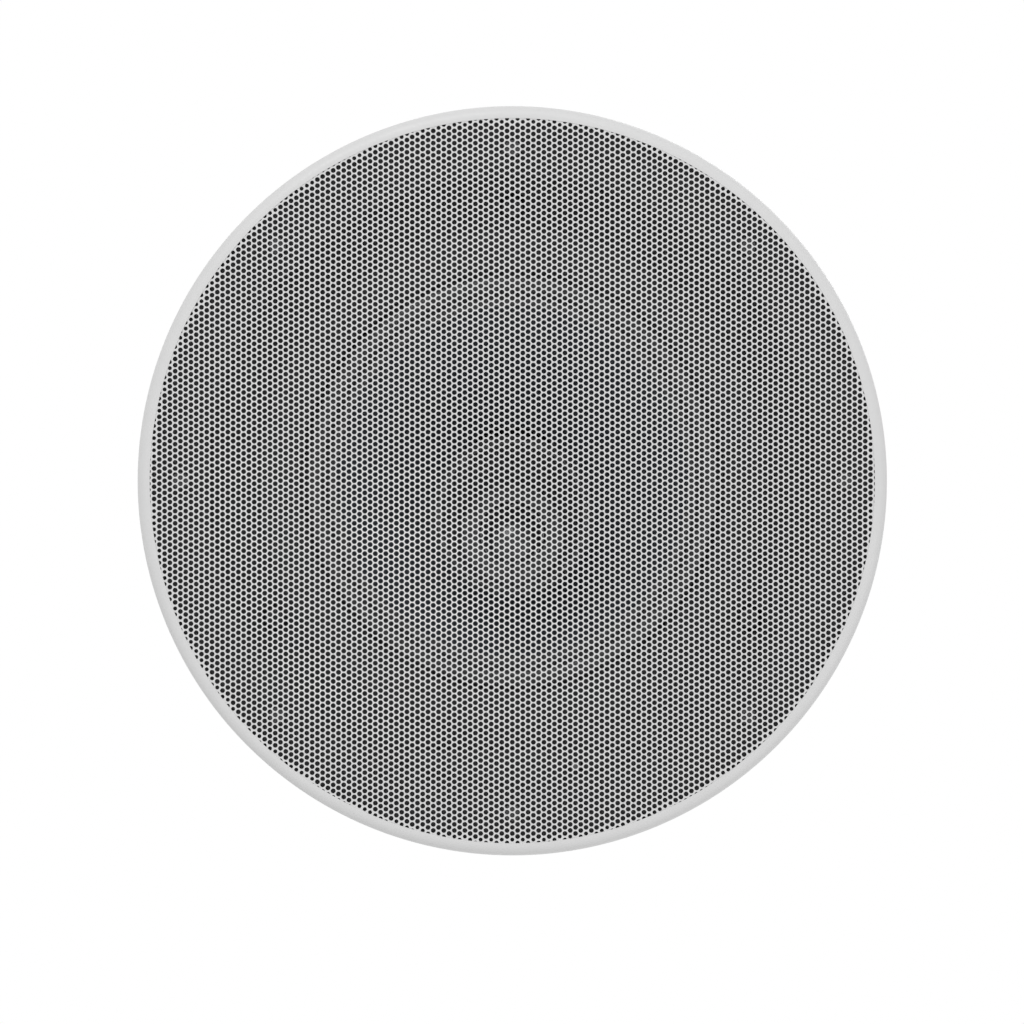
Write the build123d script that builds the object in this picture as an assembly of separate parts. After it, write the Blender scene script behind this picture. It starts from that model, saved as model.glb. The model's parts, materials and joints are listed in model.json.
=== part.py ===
from build123d import *
import os
from math import cos, hypot, radians, sin, sqrt

# In-ceiling two-way speaker. Millimetres, Z up into the ceiling, grille facing down.
# The origin is on the speaker's axis, in the plane where the flange meets the ceiling.
# The crossover and the level switch are on the +Y side.

# Woofer cone and suspension
ROLL_IN_R = 62.0  # where the rubber roll starts
ROLL_W = 7.5
SURROUND_T = 0.8
LIP_W = 4.0  # lip glued to the basket
CONE_LIP_W = 3.5  # lip glued to the cone
CONE_T = 0.8
CONE_DEPTH = 32.0
CONE_RIB_W = 1.6  # pressed rings in the cone
CONE_RIBS = 2

# Voice coil
COIL_R = 19.0  # inside of the former
FORMER_T = 0.3
FORMER_BELOW_NECK = 2.0
WINDING_T = 0.8
WINDING_L = 11.0
COIL_GAP = 0.65  # air on each side of the coil

# Spider
SPIDER_DROP = 3.5  # neck of the cone to the spider's seat
SPIDER_T = 0.6
SPIDER_WAVES = 6
SPIDER_WAVE_H = 1.6
SPIDER_SEAT_W = 8.0
SPIDER_SEAT_R = 41.0
SPIDER_GLUE = 0.1
SPIDER_EDGE_GAP = 0.5  # last wave to the seat's edge

# Basket and motor
SHEET_STEEL_T = 1.2
SCREW_BAND_W = 6.0  # basket flange outside the surround's lip
BASKET_NECK_H = 6.0
BASKET_FLOOR_DROP = 6.0
BASKET_FLOOR_HOLE_R = 23.0
BASKET_WINDOWS = 8
WINDOW_W = 23.0
WINDOW_FOOT_W = 17.0
WINDOW_MARGIN = 3.0
WINDOW_CORNER_R = 2.0
TOP_PLATE_R = 42.0
TOP_PLATE_T = 6.0
MAGNET_R = 45.0
MAGNET_HOLE_R = 24.0
MAGNET_T = 15.0
YOKE_PLATE_T = 6.0
PLATE_CHAMFER = 1.0
POLE_DROP = 0.5  # pole face in front of the top plate
WOOFER_SCREWS = 6

# Moulded frame
GASKET_T = 1.2
LEDGE_GAP = 1.0  # from the roll to the ledge's edge
LEDGE_Z = 8.0
LEDGE_T = 3.0
FUNNEL_FOOT_W = 4.5  # ledge outside the basket's edge
FUNNEL_T = 2.5
STEP_DEPTH = 2.5  # funnel's edge behind the flange face
STEP_W = 2.3
FLANGE_T = 4.0
FLANGE_W = 17.3  # flange outside the spigot
FLANGE_EDGE_R = 1.2
SPIGOT_T = 2.5
SPIGOT_H = 8.0
SPIGOT_FROM_CLAMP = 14.0
RIB_T = 1.8
RIB_DROP = 0.5
RIBS_PER_SECTOR = 7
RIB_SECTOR = 90.0  # degrees of each third that hold ribs
SCREW_BOSS_WALL = 1.3

# Clamps
CLAMPS = 3
FIRST_CLAMP = -90.0
HUB_R = 6.8
HUB_H = 13.0
CLAMP_TRAVEL = 30.0
CLAMP_FLOOR_GAP = 1.0
WALL_GAP = 0.3
TOWER_T = 2.8
TOWER_BASKET_GAP = 1.6
TOWER_SIDE_L = 12.0
TOWER_BACK_L = 14.0
TOWER_CAP_T = 3.0
TOWER_CAP_GAP = 0.6
TOWER_CORNER_R = 2.5
FOLD_GAP = 2.7  # folded arm inside the spigot's outline
ARM_T = 5.0
ARM_RIB_T = 3.0
ARM_TIP_H = 7.0
ARM_CORNER_R = 3.0
ARM_TEETH = 4
TOOTH_W = 1.4
TOOTH_H = 0.7
SCREW_R = 2.0
SCREW_GAP = 0.2
SCREW_HEAD_R = 4.0
SCREW_HEAD_H = 2.6
SCREW_TIP = 0.5
COUNTERBORE_GAP = 0.8
BOSS_WALL = 2.0
BOSS_FLOOR_T = 3.0
THREAD_GAP = 0.05
BUSH_WALL = 1.55
BUSH_FLANGE_R = 5.4
BUSH_FLANGE_T = 1.4
BUSH_GAP = 0.1

# Small screws
SMALL_SCREW_R = 1.5
SMALL_HEAD_R = 2.7
SMALL_HEAD_H = 2.0
PILOT_GAP = 0.05
SMALL_SCREW_L = 4.5
RECESS_W = 0.9
RECESS_DEPTH = 1.2

# Grille
SHEET_T = 0.8
FACE_GAP = 1.0  # flange face to the inside of the grille
GRILLE_GAP = 0.4  # flange edge to the grille's skirt
SKIRT_GAP = 0.5  # ceiling to the skirt's edge
BEND_R = 3.5
BORDER_W = 5.0  # plain border outside the perforation
HOLE_PITCH = 20.6
HOLE_TO_PITCH = 0.72
HOLD_MAGNETS = 8
HOLD_MAGNET_R = 3.0
HOLD_MAGNET_T = 3.0
HOLD_MAGNET_EDGE = 0.3
HOLD_MAGNET_INSET = 13.0  # from the flange's edge
POCKET_GAP = 0.1

# Tweeter pod on its post
LIP_R = 26.7
LIP_Y = 11.5
LIP_BEHIND_GRILLE = 4.0
LIP_T = 1.5
THROAT_Y = 17.5
THROAT_DEPTH = 13.0
TWEETER_TILT = 20.0
LAND_R = 18.5
LAND_T = 1.6
WAVEGUIDE_T = 1.2
POD_WALL = 2.2
POD_GAP = 0.2
POST_R = 5.0
POST_GAP = 0.1
SHOULDER_R = 7.5
NECK_ABOVE_POLE = 14.0
POST_BORE_R = 2.2
POST_THREAD_L = 7.0
NUT_AF = 16.0
NUT_H = 5.0

# Tweeter drive unit
DOME_R = 9.6
DOME_H = 3.8
DOME_T = 0.35
DOME_ROLL_W = 1.6
DOME_GAP = 0.2
TWEETER_CUP_WALL = 3.1
TWEETER_CUP_FLOOR = 2.5
TWEETER_PLATE_T = 2.2
TWEETER_MAGNET_T = 3.9
TWEETER_MAGNET_R = 8.2
TWEETER_COIL_T = 0.4
TWEETER_COIL_L = 3.4
TWEETER_AIR = 0.3
TWEETER_SCREWS = 3
TWEETER_SCREW_R = 1.0
TWEETER_HEAD_R = 1.5
TWEETER_HEAD_H = 0.9
TWEETER_SCREW_L = 5.0

# Level switch on its pad
PAD_W = 11.7  # straight edge of the pad to the funnel's rim
PAD_DROP = 1.5  # pad behind the flange face
PAD_T = 2.5
SWITCH_X = 20.7
SWITCH_L = 9.0
SWITCH_W = 5.4
SWITCH_H = 6.0
KNOB_L = 2.6
KNOB_W = 2.2
KNOB_H = 1.7
KNOB_BASE_L = 4.0
KNOB_BASE_W = 3.4
KNOB_BASE_H = 2.4
SWITCH_TRAVEL = 1.5  # to each side
SWITCH_GAP = 0.3

# Crossover board and terminals
BOARD_SPARE_W = 1.6  # board wider than its longer row of parts
BOARD_T = 1.6
BOARD_FROM_BASKET = 4.5
BOARD_LIFT = 3.0  # board above the ledge
BOARD_POST_W = 7.0
BOARD_POST_T = 4.0
BOARD_POST_INSET = 7.0
BOARD_SCREW_DROP = 5.0
BIG_COIL_R = 12.5
BIG_COIL_H = 10.0
SMALL_COIL_R = 8.5
SMALL_COIL_H = 9.0
BOBBIN_T = 1.2
COIL_WIRE_INSET = 1.2
CORE_R = 4.0
PART_GAP = 1.0
CAPACITOR_R = 5.0
CAPACITOR_L = 26.0
CAPACITOR_EDGE_R = 1.0
SMALL_CAPACITOR_R = 4.0
SMALL_CAPACITOR_L = 20.0
RESISTOR_L = 14.0
RESISTOR_W = 8.0
RESISTOR_EDGE_R = 0.8
TERMINAL_W = 30.0
TERMINAL_T = 11.0
TERMINAL_H = 13.0
TERMINAL_EDGE_R = 1.0
TERMINAL_SPACING = 14.0
WIRE_R = 1.6
WIRE_DEPTH = 9.0
WIRE_INSET = 3.3
BUTTON_W = 7.4
BUTTON_L = 7.3
BUTTON_OUT = 4.5
BUTTON_TRAVEL = 2.5
BUTTON_GAP = 0.3
BUTTON_EDGE_R = 0.8
STRIP_L = 18.0
STRIP_W = 6.0
STRIP_T = 1.5
STRIP_CORNER_R = 1.5
TAG_W = 4.0
TAG_T = 0.8
TAG_H = 6.0

# Radii worked outwards from the woofer
ROLL_OUT_R = ROLL_IN_R + ROLL_W
LEDGE_R = ROLL_OUT_R + LEDGE_GAP
LIP_OUT_R = ROLL_OUT_R + LIP_W
BASKET_R = LIP_OUT_R + SCREW_BAND_W
WOOFER_SCREW_R = LIP_OUT_R + SCREW_BAND_W / 2
FUNNEL_R = BASKET_R + FUNNEL_FOOT_W
CLAMP_R = BASKET_R + TOWER_BASKET_GAP + TOWER_T + WALL_GAP + HUB_R
SPIGOT_R = CLAMP_R + SPIGOT_FROM_CLAMP
SPIGOT_IN_R = SPIGOT_R - SPIGOT_T
STEP_R = SPIGOT_IN_R - STEP_W
FLANGE_R = SPIGOT_R + FLANGE_W
GRILLE_R = FLANGE_R + GRILLE_GAP + SHEET_T
ARM_L = sqrt((SPIGOT_R - FOLD_GAP) ** 2 - (CLAMP_R + HUB_R) ** 2)

# Heights worked upwards from the flange
GRILLE_IN_Z = -FLANGE_T - FACE_GAP
STEP_Z = -FLANGE_T + STEP_DEPTH
LEDGE_BACK_Z = LEDGE_Z + LEDGE_T
LIP_Z = LEDGE_BACK_Z + GASKET_T
RIM_Z = LIP_Z + SURROUND_T
BASKET_BACK_Z = RIM_Z + SHEET_STEEL_T
NECK_Z = RIM_Z + CONE_DEPTH
SPIDER_Z = NECK_Z + SPIDER_DROP
FLOOR_Z = SPIDER_Z + BASKET_FLOOR_DROP
TOP_PLATE_Z = FLOOR_Z + SHEET_STEEL_T
MAGNET_Z = TOP_PLATE_Z + TOP_PLATE_T
YOKE_Z = MAGNET_Z + MAGNET_T
YOKE_BACK_Z = YOKE_Z + YOKE_PLATE_T
POLE_Z = TOP_PLATE_Z - POLE_DROP
GAP_Z = TOP_PLATE_Z + TOP_PLATE_T / 2
FUNNEL_RISE = (LEDGE_Z - STEP_Z) / (STEP_R - FUNNEL_R)
FUNNEL_WALL_Z = FUNNEL_T * sqrt(1 + FUNNEL_RISE ** 2)

# Places in the clamps, the pod and the crossover
BOSS_TOP_Z = LEDGE_BACK_Z - CLAMP_FLOOR_GAP
HEAD_SEAT_Z = BOSS_TOP_Z - BOSS_FLOOR_T
HUB_Z = LEDGE_BACK_Z + CLAMP_FLOOR_GAP + CLAMP_TRAVEL
BUSH_TOP_Z = HUB_Z + HUB_H + BUSH_FLANGE_T
CAP_Z = BUSH_TOP_Z + TOWER_CAP_GAP
BUSH_R = SCREW_R + THREAD_GAP + BUSH_WALL
LIP_FRONT_Z = GRILLE_IN_Z + LIP_BEHIND_GRILLE
THROAT_Z = LIP_FRONT_Z + THROAT_DEPTH
CUP_Z = LAND_T + DOME_T
TWEETER_CUP_R = DOME_R + TWEETER_COIL_T + TWEETER_AIR + TWEETER_CUP_WALL
CUP_H = TWEETER_PLATE_T + TWEETER_MAGNET_T + TWEETER_CUP_FLOOR + TWEETER_AIR
POD_BACK_Z = CUP_Z + CUP_H + POD_WALL
POD_CAVITY_R = TWEETER_CUP_R + POD_GAP
TWEETER_SCREW_CIRCLE = TWEETER_CUP_R + TWEETER_HEAD_R + POD_GAP
BOARD_Y = BASKET_R + BOARD_FROM_BASKET
BOARD_FACE_Y = BOARD_Y + BOARD_T
BOARD_Z = LEDGE_BACK_Z + BOARD_LIFT
PAD_Y = STEP_R - PAD_W
PAD_Z = -FLANGE_T + PAD_DROP
PAD_BACK_Z = PAD_Z + PAD_T
SWITCH_Y = PAD_Y + PAD_T + SWITCH_GAP + SWITCH_W / 2
LOWER_ROW_W = 2 * (BIG_COIL_R + SMALL_COIL_R + CAPACITOR_R + SMALL_CAPACITOR_R) + 5 * PART_GAP
UPPER_ROW_W = TERMINAL_W + RESISTOR_L + 2 * (BOARD_POST_INSET + SMALL_HEAD_R) + 3 * PART_GAP
BOARD_W = max(LOWER_ROW_W, UPPER_ROW_W) + BOARD_SPARE_W
BOARD_POST_X = BOARD_W / 2 - BOARD_POST_INSET
PARTS_Z = BOARD_Z + BOARD_SCREW_DROP + SMALL_HEAD_R + PART_GAP
TERMINAL_Z = PARTS_Z + max(CAPACITOR_L, SMALL_CAPACITOR_L, 2 * BIG_COIL_R, 2 * SMALL_COIL_R) + PART_GAP
BOARD_TOP_Z = TERMINAL_Z + TERMINAL_H
BIG_COIL_X = -BOARD_W / 2 + PART_GAP + BIG_COIL_R
SMALL_COIL_X = BIG_COIL_X + BIG_COIL_R + PART_GAP + SMALL_COIL_R
CAPACITOR_X = SMALL_COIL_X + SMALL_COIL_R + PART_GAP + CAPACITOR_R
SMALL_CAPACITOR_X = CAPACITOR_X + CAPACITOR_R + PART_GAP + SMALL_CAPACITOR_R
TERMINAL_X = -BOARD_POST_X + SMALL_HEAD_R + PART_GAP + TERMINAL_W / 2
RESISTOR_X = TERMINAL_X + TERMINAL_W / 2 + PART_GAP

# Points of an outline that are closer than this are one point
SAME_POINT = 1e-5

# The tweeter's own plane: its Z runs backwards along the dome's axis
TWEETER = Plane(
    origin=(0, THROAT_Y, THROAT_Z),
    x_dir=(1, 0, 0),
    z_dir=(0, sin(radians(TWEETER_TILT)), cos(radians(TWEETER_TILT))),
)


def bend(centre_r, centre_z, radius, start, end):
    """Arc in the XZ half-plane about a centre, between two angles in degrees."""
    angles = [radians(start), radians((start + end) / 2), radians(end)]
    points = [(centre_r + radius * cos(a), 0, centre_z + radius * sin(a)) for a in angles]
    return ThreePointArc(*points)


def turned(*items):
    """Solid turned about Z from a closed outline of (radius, height) points and bends."""
    runs = []
    edges = []
    for item in items:
        if isinstance(item, tuple):
            point = Vector(item[0], 0, item[1])
            runs.append((point, point))
        else:
            runs.append((item @ 0, item @ 1))
            edges.append(item)
    for (_, leave), (arrive, _) in zip(runs, runs[1:] + runs[:1]):
        if (arrive - leave).length > SAME_POINT:
            edges.append(Line(leave, arrive))
    return revolve(make_face(edges), Axis.Z)


def ring(outer_r, inner_r, low_z, high_z):
    """Plain ring between two heights."""
    return Pos(0, 0, low_z) * extrude(Circle(outer_r) - Circle(inner_r), high_z - low_z)


def rod(radius, low_z, high_z):
    """Plain cylinder between two heights."""
    return Pos(0, 0, low_z) * extrude(Circle(radius), high_z - low_z)


def block(low, high):
    """Box between two corners."""
    size = [b - a for a, b in zip(low, high)]
    middle = [(a + b) / 2 for a, b in zip(low, high)]
    return Pos(*middle) * Box(*size)


def around(count, radius, first=0.0):
    """Places evenly round the axis, each with its X axis pointing outwards."""
    return [Rot(0, 0, first + 360 * i / count) * Pos(radius, 0, 0) for i in range(count)]


def pan_screw(radius, head_r, head_h, length):
    """Pan-head cross-recess screw: shank up from z 0, head below it."""
    head = turned(
        (0, -head_h),
        bend(head_r - head_h / 2, -head_h / 2, head_h / 2, -90, 0),
        (head_r, 0),
        (0, 0),
    )
    shank = turned((0, 0), (radius, 0), (radius, length - radius), (radius / 2, length), (0, length))
    slot = Pos(0, 0, -head_h + RECESS_DEPTH / 2) * Box(head_r, RECESS_W, RECESS_DEPTH)
    return head + shank - [slot, Rot(0, 0, 90) * slot]


def clamp_places():
    """Each clamp's frame: origin on its screw, X outwards."""
    return around(CLAMPS, CLAMP_R, FIRST_CLAMP)


def grille_holes():
    """Centres of the staggered holes inside the plain border."""
    reach = GRILLE_R - BORDER_W - HOLE_PITCH * HOLE_TO_PITCH / 2
    column_step = HOLE_PITCH * sqrt(3) / 2
    columns = int(reach / column_step) + 1
    rows = int(reach / HOLE_PITCH) + 2
    centres = []
    for column in range(-columns, columns + 1):
        for row in range(-rows, rows + 1):
            x = column * column_step
            y = (row + (column % 2) / 2) * HOLE_PITCH
            if hypot(x, y) <= reach:
                centres.append((x, y))
    return centres


def grille():
    """Pressed steel grille: flat perforated face, rolled edge and short skirt."""
    face_z = GRILLE_IN_Z - SHEET_T
    bend_r = GRILLE_R - BEND_R
    bend_z = face_z + BEND_R
    pan = turned(
        (0, face_z),
        bend(bend_r, bend_z, BEND_R, -90, 0),
        (GRILLE_R, -SKIRT_GAP),
        (GRILLE_R - SHEET_T, -SKIRT_GAP),
        bend(bend_r, bend_z, BEND_R - SHEET_T, 0, -90),
        (0, GRILLE_IN_Z),
    )
    hole = RegularPolygon(HOLE_PITCH * HOLE_TO_PITCH / 2, 6, major_radius=False)
    holes = Sketch() + [Pos(x, y) * hole for x, y in grille_holes()]
    return pan - Pos(0, 0, face_z) * extrude(holes, SHEET_T)


def hold_magnet_places():
    return around(HOLD_MAGNETS, FLANGE_R - HOLD_MAGNET_INSET)


def grille_magnets():
    """Disc magnets that hold the grille, standing proud of the flange."""
    magnet = rod(HOLD_MAGNET_R, GRILLE_IN_Z, GRILLE_IN_Z + HOLD_MAGNET_T)
    magnet = chamfer(magnet.edges().filter_by(GeomType.CIRCLE), HOLD_MAGNET_EDGE)
    return Part() + [place * magnet for place in hold_magnet_places()]


def funnel_back_z(radius):
    """Height of the funnel's back at a radius."""
    return STEP_Z + (STEP_R - radius) * FUNNEL_RISE + FUNNEL_WALL_Z


def frame_ring():
    """Turned body of the frame: flange, spigot, funnel and woofer ledge."""
    back_r = STEP_R - (LEDGE_BACK_Z - STEP_Z - FUNNEL_WALL_Z) / FUNNEL_RISE
    return turned(
        bend(FLANGE_R - FLANGE_EDGE_R, -FLANGE_T + FLANGE_EDGE_R, FLANGE_EDGE_R, 0, -90),
        (STEP_R, -FLANGE_T),
        (STEP_R, STEP_Z),
        (FUNNEL_R, LEDGE_Z),
        (LEDGE_R, LEDGE_Z),
        (LEDGE_R, LEDGE_BACK_Z),
        (back_r, LEDGE_BACK_Z),
        (SPIGOT_IN_R, funnel_back_z(SPIGOT_IN_R)),
        (SPIGOT_IN_R, SPIGOT_H),
        (SPIGOT_R, SPIGOT_H),
        (SPIGOT_R, 0),
        (FLANGE_R, 0),
    )


def frame_ribs():
    """Gussets between the funnel's back and the spigot."""
    top_z = SPIGOT_H - RIB_DROP
    inner_r = STEP_R - (top_z - STEP_Z - FUNNEL_WALL_Z / 2) / FUNNEL_RISE
    outer_r = SPIGOT_IN_R + SPIGOT_T / 2
    low_z = funnel_back_z(outer_r) - FUNNEL_WALL_Z / 2
    profile = make_face(
        Polyline((inner_r, 0, top_z), (outer_r, 0, top_z), (outer_r, 0, low_z), close=True)
    )
    rib = extrude(profile, RIB_T / 2, both=True, dir=(0, 1, 0))
    step = RIB_SECTOR / (RIBS_PER_SECTOR - 1)
    first = FIRST_CLAMP + (360 / CLAMPS - RIB_SECTOR) / 2
    angles = [first + 360 * c / CLAMPS + step * i for c in range(CLAMPS) for i in range(RIBS_PER_SECTOR)]
    return [Rot(0, 0, angle) * rib for angle in angles]


def clamp_tower():
    """Guide of one clamp in its own frame: back wall, side wall and cap."""
    wall = HUB_R + WALL_GAP
    outside = wall + TOWER_T
    top_z = CAP_Z + TOWER_CAP_T
    foot_z = HEAD_SEAT_Z
    back = block((-outside, -TOWER_BACK_L, foot_z), (-wall, outside, top_z))
    side = block((-outside, wall, foot_z), (TOWER_SIDE_L, outside, top_z))
    cap = block((-outside, -wall, CAP_Z), (wall, outside, top_z))
    walls = back + side + cap
    corner = walls.edges().filter_by(Axis.Z).sort_by(lambda edge: edge.center().X - edge.center().Y)[0]
    boss = rod(SCREW_HEAD_R + COUNTERBORE_GAP + BOSS_WALL, 0, BOSS_TOP_Z)
    return fillet(corner, TOWER_CORNER_R) + boss


def clamp_cut():
    """Screw passage of one clamp, with the counterbore for its head."""
    head = rod(SCREW_HEAD_R + COUNTERBORE_GAP, STEP_Z, HEAD_SEAT_Z)
    return head + rod(SCREW_R + SCREW_GAP, HEAD_SEAT_Z, CAP_Z + TOWER_CAP_T)


def front_space():
    """Space in front of the funnel and the ledge, which stays clear."""
    return turned(
        (0, -FLANGE_T),
        (STEP_R, -FLANGE_T),
        (STEP_R, STEP_Z),
        (FUNNEL_R, LEDGE_Z),
        (LEDGE_R, LEDGE_Z),
        (LEDGE_R, LEDGE_BACK_Z),
        (0, LEDGE_BACK_Z),
    )


def pad_outline(edge_y):
    """Segment between a straight edge and the funnel's rim."""
    half = Pos(0, edge_y + STEP_R) * Rectangle(2 * STEP_R, 2 * STEP_R)
    return Circle(STEP_R) & half


def switch_pad():
    """Hollow pad at the edge of the funnel, open behind."""
    shell = Pos(0, 0, PAD_Z) * extrude(pad_outline(PAD_Y), LEDGE_BACK_Z - PAD_Z)
    hollow = Pos(0, 0, PAD_BACK_Z) * extrude(pad_outline(PAD_Y + PAD_T), LEDGE_BACK_Z - PAD_BACK_Z)
    limit = turned(
        (0, PAD_Z),
        (STEP_R, PAD_Z),
        (STEP_R, funnel_back_z(STEP_R)),
        (FUNNEL_R, funnel_back_z(FUNNEL_R)),
        (0, funnel_back_z(FUNNEL_R)),
    )
    return (shell & limit), hollow


def board_posts():
    """Uprights that carry the crossover board."""
    low = (BOARD_POST_X - BOARD_POST_W / 2, BOARD_Y - BOARD_POST_T, 0)
    high = (BOARD_POST_X + BOARD_POST_W / 2, BOARD_Y, BOARD_TOP_Z)
    right = block(low, high)
    return [right, mirror(right, Plane.YZ)]


def board_screw_places():
    """Where the board's screws go in, with Z along them into the posts."""
    heights = [BOARD_Z + BOARD_SCREW_DROP, BOARD_TOP_Z - BOARD_SCREW_DROP]
    return [Pos(side * BOARD_POST_X, BOARD_FACE_Y, z) * Rot(90, 0, 0) for side in (-1, 1) for z in heights]


def woofer_screw_places():
    """Where the woofer's screws go in, with Z along them into the frame."""
    return [p * Pos(0, 0, BASKET_BACK_Z) * Rot(180, 0, 0) for p in around(WOOFER_SCREWS, WOOFER_SCREW_R)]


def frame():
    """Moulded frame with clamp towers, screw bosses, ribs, switch pad and board posts."""
    pad, pad_hollow = switch_pad()
    boss_r = SMALL_SCREW_R + PILOT_GAP + SCREW_BOSS_WALL
    boss = rod(boss_r, LEDGE_Z + LEDGE_T / 2, RIM_Z)
    body = frame_ring() + frame_ribs()
    body += [place * clamp_tower() for place in clamp_places()]
    body += board_posts()
    body -= front_space()
    body += pad
    body += [place * boss for place in around(WOOFER_SCREWS, WOOFER_SCREW_R)]
    pocket = rod(HOLD_MAGNET_R + POCKET_GAP, -FLANGE_T, GRILLE_IN_Z + HOLD_MAGNET_T)
    pilot = rod(SMALL_SCREW_R + PILOT_GAP, 0, SMALL_SCREW_L + PILOT_GAP)
    slot_l = KNOB_L + 2 * (SWITCH_TRAVEL + SWITCH_GAP)
    slot = Pos(SWITCH_X, SWITCH_Y, PAD_Z + PAD_T / 2) * Box(slot_l, KNOB_W + 2 * SWITCH_GAP, PAD_T)
    body -= [pad_hollow, slot]
    body -= [place * pocket for place in hold_magnet_places()]
    body -= [place * clamp_cut() for place in clamp_places()]
    body -= [place * pilot for place in woofer_screw_places() + board_screw_places()]
    return body


def clamp_dog():
    """Swinging clamp arm in its clamp's frame, folded along -Y."""
    hub = rod(HUB_R, HUB_Z, HUB_Z + HUB_H)
    arm = block((-HUB_R, -ARM_L, HUB_Z), (HUB_R, 0, HUB_Z + ARM_T))
    arm = fillet(arm.edges().filter_by(Axis.Z).sort_by(Axis.Y)[:2], ARM_CORNER_R)
    rib_profile = make_face(
        Polyline(
            (0, 0, HUB_Z),
            (0, -ARM_L, HUB_Z),
            (0, -ARM_L, HUB_Z + ARM_TIP_H),
            (0, -HUB_R, HUB_Z + HUB_H),
            (0, 0, HUB_Z + HUB_H),
            close=True,
        )
    )
    rib = extrude(rib_profile, ARM_RIB_T / 2, both=True, dir=(1, 0, 0))
    dog = hub + arm + rib
    step = (ARM_L - 2 * HUB_R) / ARM_TEETH
    tooth = Pos(0, -ARM_L + ARM_CORNER_R, HUB_Z + TOOTH_H / 2) * Box(2 * HUB_R, TOOTH_W, TOOTH_H)
    dog -= [Pos(0, step * i, 0) * tooth for i in range(ARM_TEETH)]
    return dog - rod(BUSH_R + BUSH_GAP, HUB_Z, HUB_Z + HUB_H)


def clamp_bush():
    """Threaded brass bush that runs on the clamp screw and draws the dog down."""
    tube = ring(BUSH_R, SCREW_R + THREAD_GAP, HUB_Z, HUB_Z + HUB_H)
    return tube + ring(BUSH_FLANGE_R, SCREW_R + THREAD_GAP, HUB_Z + HUB_H, BUSH_TOP_Z)


def clamp_screw():
    """Long clamp screw with its head in the funnel's counterbore."""
    length = CAP_Z + TOWER_CAP_T - SCREW_TIP - HEAD_SEAT_Z
    return Pos(0, 0, HEAD_SEAT_Z) * pan_screw(SCREW_R, SCREW_HEAD_R, SCREW_HEAD_H, length)


def woofer_surround():
    """Rubber surround: half roll towards the grille, with a lip on each side."""
    middle_r = ROLL_IN_R + ROLL_W / 2
    middle_z = LIP_Z + SURROUND_T / 2
    outer = ROLL_W / 2 + SURROUND_T / 2
    roll = turned(
        bend(middle_r, middle_z, outer, 180, 360),
        bend(middle_r, middle_z, outer - SURROUND_T, 360, 180),
    )
    cone_lip = ring(ROLL_IN_R + SURROUND_T / 2, ROLL_IN_R - CONE_LIP_W, LIP_Z, RIM_Z)
    outer_lip = ring(LIP_OUT_R, ROLL_OUT_R - SURROUND_T / 2, LIP_Z, RIM_Z)
    return roll + cone_lip + outer_lip


def woofer_gasket():
    """Foam ring between the ledge and the surround's lip."""
    return ring(LIP_OUT_R, LEDGE_R, LEDGE_BACK_Z, LIP_Z)


def woofer_cone():
    """Pressed cone with a flat rim, a straight flank and pressed rings."""
    rim_r = ROLL_IN_R - CONE_LIP_W
    neck_r = COIL_R + FORMER_T
    slope = CONE_DEPTH / (rim_r - neck_r)
    wall_z = CONE_T * sqrt(1 + slope ** 2)
    shell = turned(
        (ROLL_IN_R, RIM_Z),
        (rim_r, RIM_Z),
        (neck_r, NECK_Z),
        (neck_r, NECK_Z + wall_z),
        (rim_r, RIM_Z + wall_z),
        (rim_r + wall_z - CONE_T, RIM_Z + CONE_T),
        (ROLL_IN_R, RIM_Z + CONE_T),
    )
    step = (rim_r - neck_r) / (CONE_RIBS + 1)
    for i in range(1, CONE_RIBS + 1):
        radius = rim_r - step * i
        height = RIM_Z + step * i * slope + wall_z / 2
        halves = [bend(radius, height, CONE_RIB_W / 2, start, start + 180) for start in (0, 180)]
        shell += turned(*halves)
    return shell


def woofer_spider():
    """Corrugated cloth disc that centres the voice coil."""
    inner_r = COIL_R + FORMER_T + SPIDER_GLUE
    outer_r = SPIDER_SEAT_R + SPIDER_SEAT_W - SPIDER_EDGE_GAP
    wave_w = (SPIDER_SEAT_R - SHEET_STEEL_T - SPIDER_EDGE_GAP - inner_r) / SPIDER_WAVES
    middle_z = SPIDER_Z - SPIDER_T / 2

    def waves(offset):
        arcs = []
        for i in range(SPIDER_WAVES):
            left = inner_r + i * wave_w
            swing = SPIDER_WAVE_H * (1 if i % 2 else -1)
            low = (left, 0, middle_z + offset)
            top = (left + wave_w / 2, 0, middle_z + offset + swing)
            high = (left + wave_w, 0, middle_z + offset)
            arcs.append(ThreePointArc(low, top, high))
        return arcs

    under = waves(-SPIDER_T / 2)
    over = waves(SPIDER_T / 2)
    seat = Polyline(
        under[-1] @ 1,
        (outer_r, 0, middle_z - SPIDER_T / 2),
        (outer_r, 0, middle_z + SPIDER_T / 2),
        over[-1] @ 1,
    )
    start = Line(under[0] @ 0, over[0] @ 0)
    return revolve(make_face(under + over + [seat, start]), Axis.Z)


def voice_coil_former():
    """Tube that carries the winding and joins the cone."""
    return ring(COIL_R + FORMER_T, COIL_R, NECK_Z - FORMER_BELOW_NECK, GAP_Z + WINDING_L / 2)


def voice_coil_winding():
    """Copper winding in the magnet's gap."""
    inner_r = COIL_R + FORMER_T
    return ring(inner_r + WINDING_T, inner_r, GAP_Z - WINDING_L / 2, GAP_Z + WINDING_L / 2)


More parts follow.
